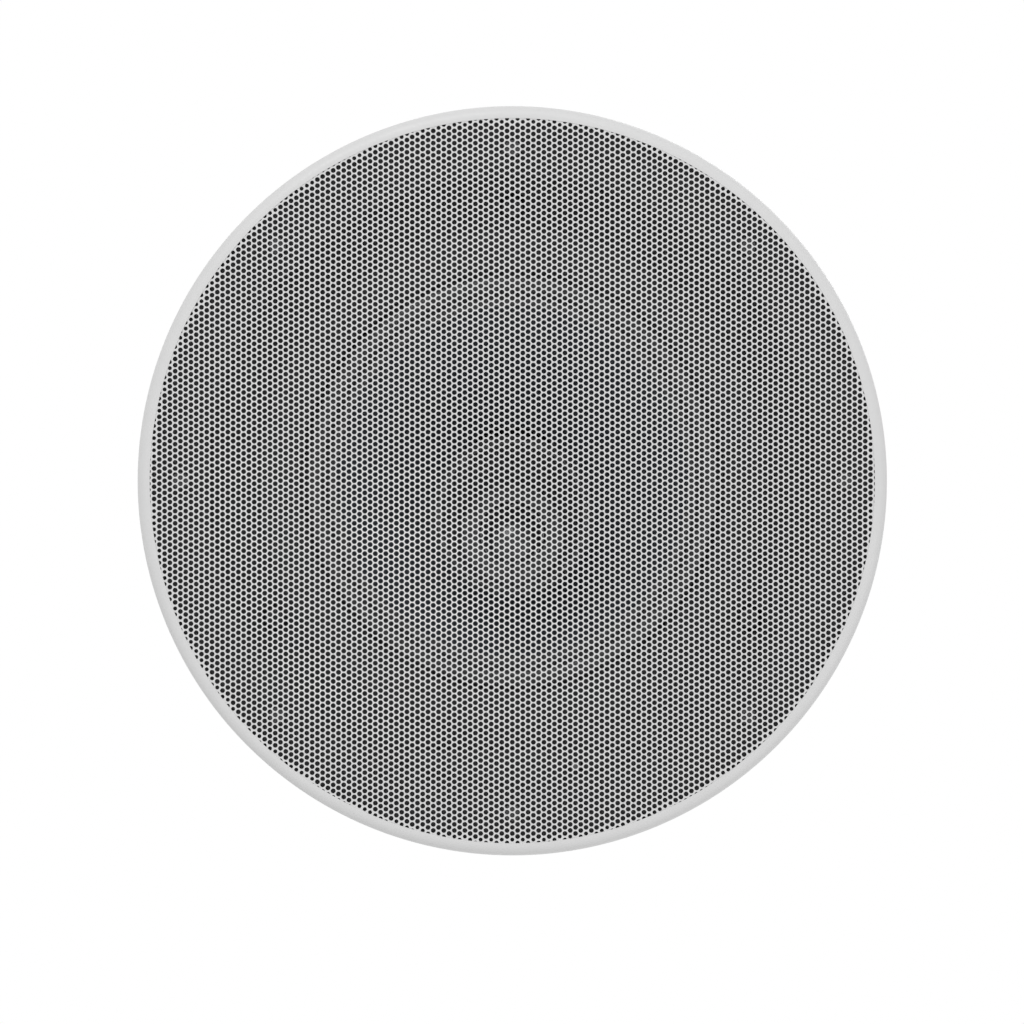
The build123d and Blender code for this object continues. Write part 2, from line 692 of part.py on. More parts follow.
def woofer_basket():
    """Pressed steel basket with open windows and a seat for the spider."""
    t = SHEET_STEEL_T
    neck_r = LEDGE_R
    neck_z = RIM_Z + BASKET_NECK_H
    seat_r = SPIDER_SEAT_R + SPIDER_SEAT_W
    shell = turned(
        (BASKET_R, RIM_Z),
        (BASKET_R, RIM_Z + t),
        (neck_r, RIM_Z + t),
        (neck_r, neck_z),
        (seat_r + t, SPIDER_Z + t),
        (SPIDER_SEAT_R, SPIDER_Z + t),
        (SPIDER_SEAT_R, FLOOR_Z + t),
        (BASKET_FLOOR_HOLE_R, FLOOR_Z + t),
        (BASKET_FLOOR_HOLE_R, FLOOR_Z),
        (SPIDER_SEAT_R - t, FLOOR_Z),
        (SPIDER_SEAT_R - t, SPIDER_Z),
        (seat_r, SPIDER_Z),
        (neck_r - t, neck_z),
        (neck_r - t, RIM_Z),
    )
    low_z = neck_z + WINDOW_MARGIN
    high_z = SPIDER_Z - WINDOW_MARGIN
    outline = make_face(
        Polyline(
            (0, -WINDOW_W / 2, low_z),
            (0, WINDOW_W / 2, low_z),
            (0, WINDOW_FOOT_W / 2, high_z),
            (0, -WINDOW_FOOT_W / 2, high_z),
            close=True,
        )
    )
    window = extrude(outline, BASKET_R, dir=(1, 0, 0))
    window = fillet(window.edges().filter_by(Axis.X), WINDOW_CORNER_R)
    shell -= [place * window for place in around(BASKET_WINDOWS, 0, 180 / BASKET_WINDOWS)]
    hole = rod(SMALL_SCREW_R + SCREW_GAP, RIM_Z, RIM_Z + t)
    return shell - [place * hole for place in around(WOOFER_SCREWS, WOOFER_SCREW_R)]


def woofer_mount_screws():
    """Screws that hold the basket to the frame from behind."""
    screw = pan_screw(SMALL_SCREW_R, SMALL_HEAD_R, SMALL_HEAD_H, SMALL_SCREW_L)
    return Part() + [place * screw for place in woofer_screw_places()]


def woofer_top_plate():
    """Steel front plate of the motor."""
    hole_r = COIL_R + FORMER_T + WINDING_T + COIL_GAP
    return ring(TOP_PLATE_R, hole_r, TOP_PLATE_Z, MAGNET_Z)


def woofer_magnet():
    """Ferrite ring magnet with chamfered edges."""
    c = PLATE_CHAMFER
    return turned(
        (MAGNET_HOLE_R, MAGNET_Z),
        (MAGNET_R - c, MAGNET_Z),
        (MAGNET_R, MAGNET_Z + c),
        (MAGNET_R, YOKE_Z - c),
        (MAGNET_R - c, YOKE_Z),
        (MAGNET_HOLE_R, YOKE_Z),
    )


def woofer_yoke():
    """Steel back plate and pole in one piece, bored for the tweeter's post."""
    bore_r = POST_R + POST_GAP
    pole_r = COIL_R - COIL_GAP
    c = PLATE_CHAMFER
    return turned(
        (bore_r, POLE_Z),
        (pole_r, POLE_Z),
        (pole_r, YOKE_Z),
        (TOP_PLATE_R, YOKE_Z),
        (TOP_PLATE_R, YOKE_BACK_Z - c),
        (TOP_PLATE_R - c, YOKE_BACK_Z),
        (bore_r, YOKE_BACK_Z),
    )


def strip_place():
    """Top of the woofer's terminal strip seat, on the back of the basket's flange."""
    return Pos(0, BASKET_R - STRIP_W / 2, BASKET_BACK_Z)


def woofer_terminal_strip():
    """Fibre strip for the woofer's solder tags."""
    return strip_place() * extrude(RectangleRounded(STRIP_L, STRIP_W, STRIP_CORNER_R), STRIP_T)


def woofer_tags():
    """Two brass solder tags on the strip."""
    x = STRIP_L / 4
    tag = Pos(0, 0, STRIP_T + TAG_H / 2) * Box(TAG_W, TAG_T, TAG_H)
    tag -= Pos(0, 0, STRIP_T + TAG_H - TAG_W / 2) * Rot(90, 0, 0) * Cylinder(TAG_W / 4, 2 * TAG_T)
    return Part() + [strip_place() * Pos(side * x, 0, 0) * tag for side in (-1, 1)]


def lip_section(radius, height=0.0):
    """Circle about the tweeter's mouth, a height behind the lip."""
    return Pos(0, LIP_Y, LIP_FRONT_Z + height) * Circle(radius)


def tweeter_pod():
    """Pod that holds the tweeter, moulded with the post through the woofer's pole."""
    rim = Pos(0, LIP_Y, LIP_FRONT_Z) * extrude(Circle(LIP_R), LIP_T)
    throat = TWEETER * Circle(LAND_R + POD_WALL)
    back = TWEETER.offset(POD_BACK_Z) * Circle(POD_CAVITY_R + POD_WALL)
    neck_z = POLE_Z - NECK_ABOVE_POLE
    bowl = loft([lip_section(LIP_R, LIP_T), throat])
    barrel = loft([throat, back])
    neck = loft([back, Pos(0, 0, neck_z) * Circle(SHOULDER_R)])
    post = rod(SHOULDER_R, neck_z, POLE_Z) + rod(POST_R, POLE_Z, YOKE_BACK_Z + POST_THREAD_L)
    body = rim + bowl + barrel + neck + post
    mouth_r = LIP_R - LIP_T
    mouth = loft([lip_section(mouth_r), TWEETER * Circle(LAND_R)])
    seat = TWEETER * rod(LAND_R, 0, LAND_T)
    cavity = TWEETER * rod(POD_CAVITY_R, 0, CUP_Z + CUP_H + POD_GAP)
    cavity_end = TWEETER.offset(CUP_Z + CUP_H).origin
    bore_start = Vector(0, 0, neck_z)
    reach = cavity_end - bore_start
    duct = Plane(origin=bore_start, z_dir=reach) * rod(POST_BORE_R, 0, reach.length)
    bore = rod(POST_BORE_R, neck_z, YOKE_BACK_Z + POST_THREAD_L)
    pilot_r = TWEETER_SCREW_R + PILOT_GAP
    pilot = rod(pilot_r, LAND_T, TWEETER_HEAD_H + TWEETER_SCREW_L)
    pilots = [TWEETER * place * pilot for place in tweeter_screw_places()]
    return body - [mouth, seat, cavity, duct, bore] - pilots


def tweeter_screw_places():
    return around(TWEETER_SCREWS, TWEETER_SCREW_CIRCLE, 90)


def tweeter_waveguide():
    """Oblique horn from the tilted land round the dome to the pod's lip."""
    outer_mouth_r = LIP_R - LIP_T - POD_GAP
    land_r = LAND_R - POD_GAP
    outside = loft([lip_section(outer_mouth_r), TWEETER * Circle(land_r)])
    inside = loft([lip_section(outer_mouth_r - WAVEGUIDE_T), TWEETER * Circle(land_r - WAVEGUIDE_T)])
    land = TWEETER * rod(land_r, 0, LAND_T)
    hole = TWEETER * rod(DOME_R + DOME_ROLL_W + DOME_GAP, 0, LAND_T)
    head = rod(TWEETER_HEAD_R + POD_GAP, 0, TWEETER_HEAD_H)
    shank = rod(TWEETER_SCREW_R + POD_GAP, 0, LAND_T)
    screw_cuts = [TWEETER * place * (head + shank) for place in tweeter_screw_places()]
    return (outside - inside) + land - hole - screw_cuts


def tweeter_screws():
    """Three small screws that hold the waveguide to the pod."""
    head = rod(TWEETER_HEAD_R, 0, TWEETER_HEAD_H)
    shank = rod(TWEETER_SCREW_R, TWEETER_HEAD_H, TWEETER_SCREW_L)
    slot = Pos(0, 0, TWEETER_HEAD_H / 4) * Box(TWEETER_HEAD_R, TWEETER_HEAD_R / 3, TWEETER_HEAD_H / 2)
    screw = head + shank - [slot, Rot(0, 0, 90) * slot]
    return Part() + [TWEETER * place * screw for place in tweeter_screw_places()]


def tweeter_dome():
    """Coated cloth dome in one piece with its roll and its flange."""
    sphere_r = (DOME_R ** 2 + DOME_H ** 2) / (2 * DOME_H)
    half_r = DOME_R / 2
    half_drop = DOME_H - sphere_r + sqrt(sphere_r ** 2 - half_r ** 2)
    roll_r = DOME_R + DOME_ROLL_W

    def face(base_z):
        cap = ThreePointArc((0, 0, base_z - DOME_H), (half_r, 0, base_z - half_drop), (DOME_R, 0, base_z))
        crest = (DOME_R + DOME_ROLL_W / 2, 0, base_z - DOME_ROLL_W / 2)
        return cap, ThreePointArc((DOME_R, 0, base_z), crest, (roll_r, 0, base_z))

    front_cap, front_roll = face(LAND_T)
    back_cap, back_roll = face(LAND_T + DOME_T)
    flange = Polyline(
        front_roll @ 1,
        (TWEETER_CUP_R, 0, LAND_T),
        (TWEETER_CUP_R, 0, LAND_T + DOME_T),
        back_roll @ 1,
    )
    axis = Line(front_cap @ 0, back_cap @ 0)
    return TWEETER * revolve(make_face([front_cap, front_roll, flange, back_roll, back_cap, axis]), Axis.Z)


def tweeter_voice_coil():
    """Fine coil under the dome's edge."""
    return TWEETER * ring(DOME_R + TWEETER_COIL_T, DOME_R, CUP_Z, CUP_Z + TWEETER_COIL_L)


def tweeter_pole_plate():
    """Steel disc inside the tweeter's coil."""
    low_z = CUP_Z + TWEETER_AIR
    return TWEETER * rod(DOME_R - TWEETER_AIR, low_z, low_z + TWEETER_PLATE_T)


def tweeter_magnet():
    """Small neodymium disc behind the pole plate."""
    low_z = CUP_Z + TWEETER_AIR + TWEETER_PLATE_T
    return TWEETER * rod(TWEETER_MAGNET_R, low_z, low_z + TWEETER_MAGNET_T)


def tweeter_cup():
    """Steel cup round the tweeter's magnet."""
    cup = rod(TWEETER_CUP_R, CUP_Z, CUP_Z + CUP_H)
    return TWEETER * (cup - rod(TWEETER_CUP_R - TWEETER_CUP_WALL, CUP_Z, CUP_Z + CUP_H - TWEETER_CUP_FLOOR))


def tweeter_post_nut():
    """Hexagon nut on the post behind the yoke."""
    outline = RegularPolygon(NUT_AF / 2, 6, major_radius=False) - Circle(POST_R + THREAD_GAP)
    return Pos(0, 0, YOKE_BACK_Z) * extrude(outline, NUT_H)


def switch_place():
    """Middle of the switch on the back of the pad."""
    return Pos(SWITCH_X, SWITCH_Y, PAD_BACK_Z)


def level_switch_body():
    """Housing of the slide switch, seated on the back of the pad."""
    housing = Pos(0, 0, SWITCH_H / 2) * Box(SWITCH_L, SWITCH_W, SWITCH_H)
    depth = KNOB_BASE_H + 2 * SWITCH_GAP
    length = KNOB_BASE_L + 2 * (SWITCH_TRAVEL + SWITCH_GAP)
    cavity = Pos(0, 0, depth / 2) * Box(length, KNOB_BASE_W + 2 * SWITCH_GAP, depth)
    return switch_place() * (housing - cavity)


def level_switch_slider():
    """Sliding knob that reaches through the pad's slot."""
    base_z = SWITCH_GAP + KNOB_BASE_H / 2
    base = Pos(0, 0, base_z) * Box(KNOB_BASE_L, KNOB_BASE_W, KNOB_BASE_H)
    length = PAD_T + KNOB_H + SWITCH_GAP
    knob = Pos(0, 0, SWITCH_GAP - length / 2) * Box(KNOB_L, KNOB_W, length)
    return switch_place() * (base + knob)


def on_board(x, z):
    """Place on the board's outer face, with Z pointing away from it."""
    return Pos(x, BOARD_FACE_Y, z) * Rot(-90, 0, 0)


def crossover_board():
    """Circuit board upright on the frame's posts."""
    board = block((-BOARD_W / 2, BOARD_Y, BOARD_Z), (BOARD_W / 2, BOARD_FACE_Y, BOARD_TOP_Z))
    hole = rod(SMALL_SCREW_R + SCREW_GAP, 0, BOARD_T)
    return board - [place * hole for place in board_screw_places()]


def crossover_screws():
    """Screws that hold the board to its posts."""
    screw = pan_screw(SMALL_SCREW_R, SMALL_HEAD_R, SMALL_HEAD_H, SMALL_SCREW_L)
    return Part() + [place * screw for place in board_screw_places()]


def coil_places():
    """Place, radius and height of the woofer's and the tweeter's coil."""
    big = on_board(BIG_COIL_X, PARTS_Z + BIG_COIL_R)
    small = on_board(SMALL_COIL_X, PARTS_Z + SMALL_COIL_R)
    return [(big, BIG_COIL_R, BIG_COIL_H), (small, SMALL_COIL_R, SMALL_COIL_H)]


def crossover_bobbins():
    """Flanged bobbins of the two air-cored coils."""
    bobbins = []
    for place, radius, height in coil_places():
        drum_r = CORE_R + BOBBIN_T
        drum = turned(
            (CORE_R, 0),
            (radius, 0),
            (radius, BOBBIN_T),
            (drum_r, BOBBIN_T),
            (drum_r, height - BOBBIN_T),
            (radius, height - BOBBIN_T),
            (radius, height),
            (CORE_R, height),
        )
        bobbins.append(place * drum)
    return Part() + bobbins


def crossover_windings():
    """Copper windings between the bobbins' flanges."""
    drum_r = CORE_R + BOBBIN_T
    windings = [
        place * ring(radius - COIL_WIRE_INSET, drum_r, BOBBIN_T, height - BOBBIN_T)
        for place, radius, height in coil_places()
    ]
    return Part() + windings


def capacitor(x, radius, length):
    """Axial film capacitor lying upright against the board."""
    can = turned(
        (0, 0),
        bend(radius - CAPACITOR_EDGE_R, CAPACITOR_EDGE_R, CAPACITOR_EDGE_R, -90, 0),
        bend(radius - CAPACITOR_EDGE_R, length - CAPACITOR_EDGE_R, CAPACITOR_EDGE_R, 0, 90),
        (0, length),
    )
    return Pos(x, BOARD_FACE_Y + radius, PARTS_Z) * can


def crossover_capacitors():
    """Two film capacitors side by side."""
    large = capacitor(CAPACITOR_X, CAPACITOR_R, CAPACITOR_L)
    small = capacitor(SMALL_CAPACITOR_X, SMALL_CAPACITOR_R, SMALL_CAPACITOR_L)
    return Part() + [large, small]


def crossover_resistor():
    """Cement block resistor."""
    low = (RESISTOR_X, BOARD_FACE_Y, TERMINAL_Z + PART_GAP)
    high = (RESISTOR_X + RESISTOR_L, BOARD_FACE_Y + RESISTOR_W, TERMINAL_Z + PART_GAP + RESISTOR_W)
    body = block(low, high)
    return fillet(body.faces().sort_by(Axis.Y)[-1].edges(), RESISTOR_EDGE_R)


def terminal_xs():
    """Middles of the two terminals."""
    return [TERMINAL_X - TERMINAL_SPACING / 2, TERMINAL_X + TERMINAL_SPACING / 2]


def terminal_block():
    """Push terminal housing with a wire hole on top and a button pocket for each pole."""
    face_y = BOARD_FACE_Y + TERMINAL_T
    low = (TERMINAL_X - TERMINAL_W / 2, BOARD_FACE_Y, TERMINAL_Z)
    housing = block(low, (TERMINAL_X + TERMINAL_W / 2, face_y, BOARD_TOP_Z))
    housing = fillet(housing.edges().filter_by(Axis.Z).sort_by(Axis.Y)[2:], TERMINAL_EDGE_R)
    wire = rod(WIRE_R, BOARD_TOP_Z - WIRE_DEPTH, BOARD_TOP_Z)
    depth = BUTTON_L - BUTTON_OUT + BUTTON_TRAVEL + BUTTON_GAP
    pocket_w = BUTTON_W + 2 * BUTTON_GAP
    middle_z = (TERMINAL_Z + BOARD_TOP_Z) / 2
    pocket = Pos(0, face_y - depth / 2, middle_z) * Box(pocket_w, depth, pocket_w)
    for x in terminal_xs():
        housing -= Pos(x, BOARD_FACE_Y + WIRE_INSET, 0) * wire
        housing -= Pos(x, 0, 0) * pocket
    return housing


def terminal_button(x):
    """Sprung button that opens one terminal when it is pressed in."""
    out_y = BOARD_FACE_Y + TERMINAL_T + BUTTON_OUT
    middle_z = (TERMINAL_Z + BOARD_TOP_Z) / 2
    low = (x - BUTTON_W / 2, out_y - BUTTON_L, middle_z - BUTTON_W / 2)
    button = block(low, (x + BUTTON_W / 2, out_y, middle_z + BUTTON_W / 2))
    return fillet(button.faces().sort_by(Axis.Y)[-1].edges(), BUTTON_EDGE_R)


def parts():
    """Every piece by its name."""
    red_x, black_x = terminal_xs()
    pieces = {
        "grille": grille(),
        "grille_magnets": grille_magnets(),
        "frame": frame(),
        "woofer_gasket": woofer_gasket(),
        "woofer_surround": woofer_surround(),
        "woofer_cone": woofer_cone(),
        "woofer_spider": woofer_spider(),
        "voice_coil_former": voice_coil_former(),
        "voice_coil_winding": voice_coil_winding(),
        "woofer_basket": woofer_basket(),
        "woofer_mount_screws": woofer_mount_screws(),
        "woofer_top_plate": woofer_top_plate(),
        "woofer_magnet": woofer_magnet(),
        "woofer_yoke": woofer_yoke(),
        "woofer_terminal_strip": woofer_terminal_strip(),
        "woofer_tags": woofer_tags(),
        "tweeter_pod": tweeter_pod(),
        "tweeter_waveguide": tweeter_waveguide(),
        "tweeter_screws": tweeter_screws(),
        "tweeter_dome": tweeter_dome(),
        "tweeter_voice_coil": tweeter_voice_coil(),
        "tweeter_pole_plate": tweeter_pole_plate(),
        "tweeter_magnet": tweeter_magnet(),
        "tweeter_cup": tweeter_cup(),
        "tweeter_post_nut": tweeter_post_nut(),
        "level_switch_body": level_switch_body(),
        "level_switch_slider": level_switch_slider(),
        "crossover_board": crossover_board(),
        "crossover_screws": crossover_screws(),
        "crossover_bobbins": crossover_bobbins(),
        "crossover_windings": crossover_windings(),
        "crossover_capacitors": crossover_capacitors(),
        "crossover_resistor": crossover_resistor(),
        "terminal_block": terminal_block(),
        "terminal_button_red": terminal_button(red_x),
        "terminal_button_black": terminal_button(black_x),
    }
    for number, place in enumerate(clamp_places(), 1):
        pieces[f"clamp_dog_{number}"] = place * clamp_dog()
        pieces[f"clamp_bush_{number}"] = place * clamp_bush()
        pieces[f"clamp_screw_{number}"] = place * clamp_screw()
    return pieces


os.makedirs("parts", exist_ok=True)
for name, piece in parts().items():
    export_step(piece, f"parts/{name}.step")
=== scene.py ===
import json
from math import cos, hypot, pi, radians, sin, sqrt, tau

import bpy
import numpy as np
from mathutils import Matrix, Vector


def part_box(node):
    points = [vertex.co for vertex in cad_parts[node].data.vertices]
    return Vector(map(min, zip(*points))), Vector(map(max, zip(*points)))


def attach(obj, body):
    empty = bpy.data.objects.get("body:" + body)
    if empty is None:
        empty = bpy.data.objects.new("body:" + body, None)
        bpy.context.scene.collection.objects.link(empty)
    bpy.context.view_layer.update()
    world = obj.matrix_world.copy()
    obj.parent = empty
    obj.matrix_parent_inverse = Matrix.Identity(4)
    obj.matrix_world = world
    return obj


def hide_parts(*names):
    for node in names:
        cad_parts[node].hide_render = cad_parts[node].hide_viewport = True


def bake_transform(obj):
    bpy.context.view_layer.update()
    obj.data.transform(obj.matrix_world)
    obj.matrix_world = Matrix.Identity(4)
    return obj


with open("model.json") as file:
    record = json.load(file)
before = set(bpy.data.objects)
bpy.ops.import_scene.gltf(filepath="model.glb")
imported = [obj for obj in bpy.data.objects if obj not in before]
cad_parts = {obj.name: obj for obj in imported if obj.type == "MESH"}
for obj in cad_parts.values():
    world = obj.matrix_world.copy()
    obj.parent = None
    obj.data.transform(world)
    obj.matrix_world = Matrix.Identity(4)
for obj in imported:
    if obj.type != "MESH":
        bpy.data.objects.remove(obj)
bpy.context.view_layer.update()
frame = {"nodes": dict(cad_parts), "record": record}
nodes = frame["nodes"]
scene = bpy.context.scene

# Sizes are in millimetres, apart from the grain and relief of materials, the studio and the camera, in metres
MM = 0.001
WHITE = (1, 1, 1, 1)


def corners(node):
    """Lowest and highest corner of a node at rest, in millimetres."""
    return [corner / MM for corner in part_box(node)]


# Materials

MOTTLE_SIZE = 12  # mottling is this much coarser than the grain
MOTTLE_DETAIL, GRAIN_DETAIL = 4.0, 3.0
LEAST_ROUGH = 0.02
WAVE_TURN = 20  # the wave texture's angle for one unit of scale and length
CONE_RINGS = 1.2  # spacing of the fine rings on the cone
LATHE_RINGS = 1.4  # spacing of the turning marks on the steel
END_FACING = 0.97  # cosine from which a face counts as looking along Z
TRACK_CELLS = 190  # cells of copper along a metre of the board
TRACK_EDGE = 0.16  # gap between those cells, as a share of their size
POLE_PAINT = 0.4  # depth of the black paint on the front of the woofer's pole
LOOKS = {}


def link(tree, out, into):
    """Joins an output to an input of a node tree."""
    tree.links.new(out, into)


def surface(slot, colour, rough, metal=0.0, spread=0.12, grain=900.0, bump=0.15, depth=0.00005,
            stretch=(1.0, 1.0, 1.0), coat=0.0, sheen=0.0, rough_spread=0.08):
    """Principled surface of a slot, with mottled colour, uneven gloss and fine grain."""
    made = bpy.data.materials.new(slot)
    made.use_nodes = True
    LOOKS[slot] = made
    tree = made.node_tree
    shader = tree.nodes["Principled BSDF"]
    shader.inputs["Metallic"].default_value = metal
    shader.inputs["Coat Weight"].default_value = coat
    shader.inputs["Sheen Weight"].default_value = sheen
    place = tree.nodes.new("ShaderNodeTexCoord")
    mapping = tree.nodes.new("ShaderNodeMapping")
    mapping.inputs["Scale"].default_value = stretch
    link(tree, place.outputs["Object"], mapping.inputs["Vector"])
    broad = tree.nodes.new("ShaderNodeTexNoise")
    broad.inputs["Scale"].default_value = grain / MOTTLE_SIZE
    broad.inputs["Detail"].default_value = MOTTLE_DETAIL
    fine = tree.nodes.new("ShaderNodeTexNoise")
    fine.name = "fine"
    fine.inputs["Scale"].default_value = grain
    fine.inputs["Detail"].default_value = GRAIN_DETAIL
    for noise in (broad, fine):
        link(tree, mapping.outputs["Vector"], noise.inputs["Vector"])
    mix = tree.nodes.new("ShaderNodeMix")
    mix.name = "mottle"
    mix.data_type = "RGBA"
    mix.inputs["A"].default_value = (*[c * (1 - spread) for c in colour], 1)
    mix.inputs["B"].default_value = (*[min(1.0, c * (1 + spread)) for c in colour], 1)
    link(tree, broad.outputs["Fac"], mix.inputs["Factor"])
    link(tree, mix.outputs["Result"], shader.inputs["Base Color"])
    gloss = tree.nodes.new("ShaderNodeMapRange")
    gloss.inputs["To Min"].default_value = max(LEAST_ROUGH, rough - rough_spread)
    gloss.inputs["To Max"].default_value = min(1.0, rough + rough_spread)
    link(tree, fine.outputs["Fac"], gloss.inputs["Value"])
    link(tree, gloss.outputs["Result"], shader.inputs["Roughness"])
    relief = tree.nodes.new("ShaderNodeBump")
    relief.name = "relief"
    relief.inputs["Strength"].default_value = bump
    relief.inputs["Distance"].default_value = depth
    link(tree, fine.outputs["Fac"], relief.inputs["Height"])
    link(tree, relief.outputs["Normal"], shader.inputs["Normal"])
    return made


def maths(tree, operation, first, second):
    """Output of a node that combines an output with another, or with a number."""
    node = tree.nodes.new("ShaderNodeMath")
    node.operation = operation
    link(tree, first, node.inputs[0])
    if isinstance(second, (int, float)):
        node.inputs[1].default_value = second
    else:
        link(tree, second, node.inputs[1])
    return node.outputs["Value"]


def recoloured(made, share, colour):
    """Gives part of a surface another colour, where share is 1."""
    tree = made.node_tree
    mix = tree.nodes.new("ShaderNodeMix")
    mix.data_type = "RGBA"
    mix.inputs["B"].default_value = (*colour, 1)
    link(tree, share, mix.inputs["Factor"])
    link(tree, tree.nodes["mottle"].outputs["Result"], mix.inputs["A"])
    link(tree, mix.outputs["Result"], tree.nodes["Principled BSDF"].inputs["Base Color"])


def ringed(made, spacing):
    """Adds fine rings round Z to a surface's relief, a spacing apart."""
    tree = made.node_tree
    place = tree.nodes.new("ShaderNodeTexCoord")
    rings = tree.nodes.new("ShaderNodeTexWave")
    rings.wave_type = "RINGS"
    rings.rings_direction = "Z"
    rings.inputs["Scale"].default_value = tau / (WAVE_TURN * spacing * MM)
    link(tree, place.outputs["Object"], rings.inputs["Vector"])
    total = maths(tree, "ADD", rings.outputs["Fac"], tree.nodes["fine"].outputs["Fac"])
    link(tree, total, tree.nodes["relief"].inputs["Height"])


def painted_ends(made, colour):
    """Gives the faces that look along Z a colour of their own."""
    tree = made.node_tree
    geometry = tree.nodes.new("ShaderNodeNewGeometry")
    split = tree.nodes.new("ShaderNodeSeparateXYZ")
    link(tree, geometry.outputs["True Normal"], split.inputs["Vector"])
    along = maths(tree, "MULTIPLY", split.outputs["Z"], split.outputs["Z"])
    recoloured(made, maths(tree, "GREATER_THAN", along, END_FACING ** 2), colour)


def painted_below(made, height, colour):
    """Paints what lies below a height."""
    tree = made.node_tree
    place = tree.nodes.new("ShaderNodeTexCoord")
    split = tree.nodes.new("ShaderNodeSeparateXYZ")
    link(tree, place.outputs["Object"], split.inputs["Vector"])
    recoloured(made, maths(tree, "LESS_THAN", split.outputs["Z"], height * MM), colour)


def tracked(made, colour):
    """Draws copper tracks under a board's lacquer as square cells with gaps between them."""
    tree = made.node_tree
    place = tree.nodes.new("ShaderNodeTexCoord")
    distances = []
    for feature in ("F2", "F1"):
        cell = tree.nodes.new("ShaderNodeTexVoronoi")
        cell.feature = feature
        cell.distance = "CHEBYCHEV"
        cell.inputs["Scale"].default_value = TRACK_CELLS
        link(tree, place.outputs["Object"], cell.inputs["Vector"])
        distances.append(cell.outputs["Distance"])
    gap = maths(tree, "SUBTRACT", *distances)
    recoloured(made, maths(tree, "GREATER_THAN", gap, TRACK_EDGE), colour)


# Grille, frame and clamps
surface("grille_paint", (0.735, 0.735, 0.735), 0.5, spread=0.02, grain=2500, bump=0.2, coat=0.05)
surface("frame_plastic", (0.022, 0.022, 0.024), 0.6, grain=3000, bump=0.3)
surface("magnet_epoxy", (0.034, 0.034, 0.036), 0.5, spread=0.1, grain=1500, bump=0.1)
surface("clamp_nylon", (0.040, 0.040, 0.043), 0.55, grain=2500, bump=0.3)
surface("bush_brass", (0.72, 0.53, 0.25), 0.3, metal=1.0, spread=0.06, stretch=(1, 1, 14))
surface("zinc_screw", (0.62, 0.62, 0.60), 0.32, metal=1.0, spread=0.08, grain=1800, bump=0.1)
surface("black_screw", (0.045, 0.045, 0.048), 0.42, metal=0.5, grain=1800, bump=0.1)

# Woofer
surface("surround_rubber", (0.055, 0.055, 0.057), 0.32, grain=2200, bump=0.1, sheen=0.1)
surface("gasket_foam", (0.030, 0.030, 0.030), 0.95, grain=2600, bump=0.8, depth=0.0002)
cone_look = surface("cone_poly", (0.060, 0.066, 0.077), 0.42, grain=1600, bump=0.3)
ringed(cone_look, CONE_RINGS)
surface("spider_cloth", (0.50, 0.33, 0.12), 0.9, grain=2600, bump=0.7, depth=0.0002, sheen=0.2)
surface("former_foil", (0.070, 0.070, 0.074), 0.4, metal=0.6, spread=0.05)
surface("copper_wire", (0.62, 0.25, 0.11), 0.28, metal=1.0, spread=0.1, coat=0.4)
surface("basket_paint", (0.020, 0.020, 0.022), 0.5, grain=2400, bump=0.25)
steel_look = surface("plated_steel", (0.56, 0.56, 0.55), 0.38, metal=1.0, spread=0.07, grain=900, bump=0.16)
ringed(steel_look, LATHE_RINGS)
painted_below(steel_look, corners("woofer_yoke")[0].z + POLE_PAINT, (0.012, 0.012, 0.012))
surface("ferrite", (0.060, 0.060, 0.063), 0.55, spread=0.25, grain=700, bump=0.2)
surface("fibre_strip", (0.20, 0.11, 0.05), 0.75, spread=0.2, grain=1500, bump=0.3)
surface("tag_brass", (0.68, 0.60, 0.42), 0.3, metal=1.0, spread=0.1)

# Tweeter
surface("pod_plastic", (0.020, 0.020, 0.022), 0.6, grain=2600, bump=0.2)
surface("horn_plastic", (0.058, 0.058, 0.061), 0.5, grain=2600, bump=0.1)
surface("dome_cloth", (0.030, 0.030, 0.034), 0.28, grain=4200, bump=0.15, coat=1.0)

# Crossover, terminals and switch
board_look = surface("board_resin", (0.030, 0.14, 0.065), 0.4, spread=0.15, grain=1200, bump=0.1, coat=0.3)
tracked(board_look, (0.055, 0.21, 0.095))
surface("bobbin_plastic", (0.055, 0.055, 0.058), 0.45, grain=2200, bump=0.15)
film_look = surface("capacitor_film", (0.62, 0.42, 0.07), 0.35, spread=0.08, grain=600, coat=0.3)
painted_ends(film_look, (0.60, 0.55, 0.42))
surface("resistor_cement", (0.70, 0.68, 0.61), 0.85, grain=1800, bump=0.4)
surface("terminal_plastic", (0.025, 0.025, 0.027), 0.3, grain=2000, bump=0.08)
surface("button_red_plastic", (0.52, 0.02, 0.02), 0.3, grain=2000, bump=0.08)
surface("button_black_plastic", (0.030, 0.030, 0.032), 0.3, grain=2000, bump=0.08)
surface("switch_plastic", (0.030, 0.030, 0.032), 0.5, grain=2400, bump=0.15)
surface("slider_plastic", (0.16, 0.16, 0.16), 0.4, grain=2000, bump=0.08)

for part in frame["record"]["subparts"]:
    for material_slot in nodes[part["node"]].material_slots:
        material_slot.material = LOOKS[part["material_slot"]]


# Helpers for added pieces

def piece(name, points, faces, slot, body, crease=None):
    """Mesh that rides on a body, smooth below a crease angle in degrees if one is given."""
    mesh = bpy.data.meshes.new(name)
    mesh.from_pydata((np.asarray(points, float) * MM).tolist(), [], faces)
    mesh.validate()
    made = bpy.data.objects.new(name, mesh)
    scene.collection.objects.link(made)
    mesh.materials.append(LOOKS[slot])
    if crease is not None:
        mesh.polygons.foreach_set("use_smooth", [True] * len(mesh.polygons))
        mesh.set_sharp_from_angle(angle=radians(crease))
    if body:
        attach(made, body)
    return made


def arc(centre_r, centre_z, radius, start, end, steps):
    """Points of an arc in a turned outline, angles in degrees."""
    angles = [radians(start + (end - start) * i / steps) for i in range(steps + 1)]
    return [(centre_r + radius * cos(a), centre_z + radius * sin(a)) for a in angles]


